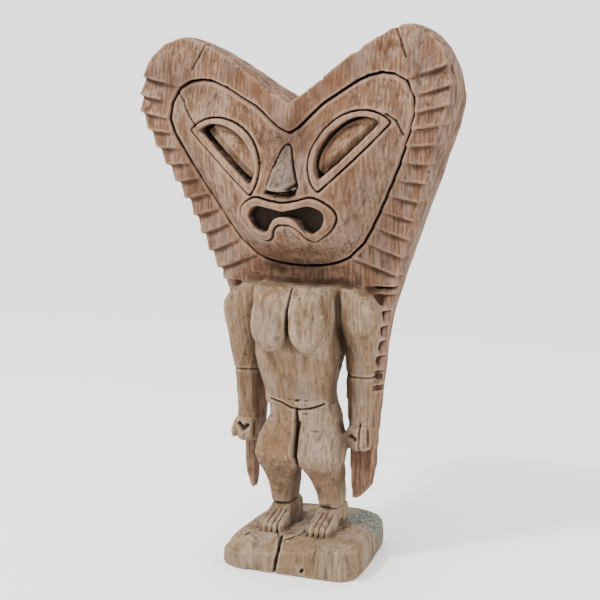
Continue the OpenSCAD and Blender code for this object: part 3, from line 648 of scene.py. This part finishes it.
# slot: pale, middle, warm and dark tone, share of grey weathering, share of dark checks
TONES = {
    "wood_crest": ((0.229, 0.136, 0.087), (0.117, 0.057, 0.030), (0.102, 0.044, 0.019), (0.042, 0.019, 0.009),
                   0.45, 0.55),
    "wood_face": ((0.237, 0.143, 0.090), (0.118, 0.061, 0.032), (0.112, 0.050, 0.021), (0.042, 0.020, 0.010),
                  0.45, 0.50),
    "wood_body": ((0.259, 0.179, 0.115), (0.157, 0.097, 0.054), (0.133, 0.067, 0.027), (0.056, 0.031, 0.016),
                  0.55, 0.60),
    "wood_grey": ((0.192, 0.136, 0.101), (0.111, 0.074, 0.050), (0.096, 0.059, 0.034), (0.050, 0.032, 0.021),
                  0.45, 0.50),
    "wood_dark": ((0.281, 0.179, 0.111), (0.141, 0.071, 0.035), (0.104, 0.046, 0.019), (0.040, 0.018, 0.008),
                  0.30, 0.45),
    "wood_base": ((0.244, 0.172, 0.111), (0.157, 0.104, 0.059), (0.133, 0.077, 0.036), (0.056, 0.035, 0.020),
                  0.50, 0.75),
}


def wood_material(slot):
    pale, middle, warm, dark, greying, checks = TONES[slot]
    n = Nodes(slot)
    fine, broad, painted_shade_and_crack_dark = n.attribute("fine"), n.attribute("broad"), n.attribute("painted_shade_and_crack_dark")
    along = n.place((1, 1, 0.10))
    upright = n.place((1, 1, 0.35), (3.1, 1.7, 0.4))
    plain = n.place((1, 1, 1), (0.7, 2.3, 5.1))

    streaks = n.noise(along, 120, 6, 0.65, 0.3)
    bands = n.noise(along, 26, 4, 0.6, 0.4)
    patches = n.noise(upright, 8.5, 4, 0.6, 0.5)
    blotches = n.noise(plain, 22, 5, 0.62, 0.2)
    specks = n.noise(plain, 260, 3, 0.6)
    growth = n.rings(n.place((1, 1, 0.16), (0.06, 0.05, 0.0)), 34, 2.6)

    tone = n.math("MULTIPLY_ADD", n.math("SUBTRACT", streaks, 0.5), 4.2, 0.50)
    tone = n.math("MULTIPLY_ADD", n.math("SUBTRACT", bands, 0.5), 2.4, tone)
    tone = n.math("MULTIPLY_ADD", n.math("SUBTRACT", blotches, 0.5), 2.0, tone)
    tone = n.math("MULTIPLY_ADD", n.math("SUBTRACT", growth, 0.5), 0.45, tone)
    tone = n.math("MULTIPLY_ADD", n.math("SUBTRACT", specks, 0.5), 0.5, tone, clamp=True)
    colour = n.blend(tone, middle, pale)

    warmth = n.spread(patches, 0.47, 0.66)
    if slot == "wood_body":
        shins = n.math("MULTIPLY", n.spread(n.axis("Z"), 0.236, 0.212), n.spread(n.axis("Z"), 0.10, 0.15))
        belly = n.math("MULTIPLY", n.spread(n.axis("Z"), 0.50, 0.46), n.spread(n.axis("Z"), 0.36, 0.40))
        warmth = n.math("MAXIMUM", warmth, n.math("MULTIPLY", n.math("MAXIMUM", shins, belly), 0.62))
    colour = n.blend(n.math("MULTIPLY", warmth, 0.75), colour, warm)
    grey = tuple(0.55 * p + 0.45 * sum(pale) / 3 for p in pale)
    greyed = n.math("MULTIPLY", n.spread(n.noise(upright, 15, 5, 0.6, 0.2), 0.48, 0.68), greying)
    colour = n.blend(greyed, colour, grey)

    dirt_and_shade_mottle = n.noise(n.place((1, 1, 0.22), (0.2, 4.1, 1.9)), 48, 6, 0.68, 0.6)
    colour = n.blend(n.math("MULTIPLY", n.spread(dirt_and_shade_mottle, 0.52, 0.32), 0.75), colour, dark)
    worn = n.math("MULTIPLY", n.spread(fine, 0.12, 0.9), 0.55)
    colour = n.blend(worn, colour, tuple(min(1.0, 1.35 * p) for p in pale))
    # Painted shade: creases and hollows are darkened, and so is the wood under and between parts, partly real
    # staining
    painted_crease_shade = n.math("MULTIPLY", n.spread(fine, -0.10, -0.60), 0.85)
    painted_hollow_shade = n.math("MULTIPLY", n.spread(broad, 0.0, -0.45), 0.95)
    painted_shade_and_stain = n.math("MULTIPLY", n.attribute("painted_shade_and_stain"), n.spread(dirt_and_shade_mottle, 0.30, 0.62, 1.25, 0.75))
    colour = n.blend(n.math("MAXIMUM", n.math("MAXIMUM", painted_crease_shade, painted_hollow_shade), painted_shade_and_stain), colour, dark)

    check_noise = n.noise(n.place((1, 1, 0.055), (1.3, 0.2, 0.9)), 210, 4, 0.6, 0.6)
    check_mask = n.spread(n.noise(plain, 13, 3, 0.6), 0.40, 0.62)
    check = n.math("MULTIPLY", n.spread(check_noise, 0.605, 0.66), check_mask)
    colour = n.blend(n.math("MULTIPLY", check, checks), colour, dark)
    if slot == "wood_base":
        apart = n.add("ShaderNodeVectorMath", operation="DISTANCE")
        n.put(apart.inputs[0], n.add("ShaderNodeTexCoord").outputs["Object"])
        n.put(apart.inputs[1], (0.118, 0.085, 0.082))
        ragged = n.math("MULTIPLY_ADD", n.noise(plain, 60, 4, 0.7), 0.10, apart.outputs["Value"])
        patch = n.spread(ragged, 0.135, 0.085)
        mottle = n.spread(n.noise(plain, 150, 4, 0.7), 0.42, 0.60)
        mould = n.blend(mottle, (0.035, 0.042, 0.034), (0.20, 0.215, 0.18))
        colour = n.blend(n.math("MULTIPLY", patch, 0.88), colour, mould)
    # Near black: painted shade in grooves, carved lines, hollows and the open mouth, and the dark of cracks
    colour = n.blend(n.math("MULTIPLY", painted_shade_and_crack_dark, 0.93), colour, (0.018, 0.011, 0.007))
    n.put(n.shader.inputs["Base Color"], colour)

    rough = n.spread(tone, 0.0, 1.0, 0.92, 0.74)
    n.put(n.shader.inputs["Roughness"], rough)
    n.put(n.shader.inputs["Specular IOR Level"], 0.25)

    height = n.math("MULTIPLY_ADD", streaks, 0.7, n.math("MULTIPLY", bands, 0.5))
    height = n.math("MULTIPLY_ADD", specks, 0.22, height)
    height = n.math("MULTIPLY_ADD", blotches, 0.5, height)
    height = n.math("SUBTRACT", height, n.math("MULTIPLY", check, 0.8))
    bump = n.add("ShaderNodeBump")
    n.put(bump.inputs["Strength"], 0.8)
    n.put(bump.inputs["Distance"], 0.0030)
    n.put(bump.inputs["Height"], height)
    n.put(n.shader.inputs["Normal"], bump.outputs["Normal"])
    return n.mat


# ---------------------------------------------------------------- make it

make_camera()
make_studio()
log = Log()
eye_hollows(log)
flange_steps(log)
upper_chest(log)
gouge_marks(log)
weathering(log)
for name, others, width, depth, painted_shade_and_crack_dark in GROOVES:
    log.groove(name, others, width, depth, painted_shade_and_crack_dark)
for path, across, width, depth, painted_shade_and_crack_dark in LINES:
    log.cut_line(path, across, width, depth, painted_shade_and_crack_dark)
toe_lines(log)
mouth_shade(log)
slots = {row["node"]: row["material_slot"] for row in frame["record"]["subparts"]}
make_pieces(log, {slot: wood_material(slot) for slot in TONES}, slots)
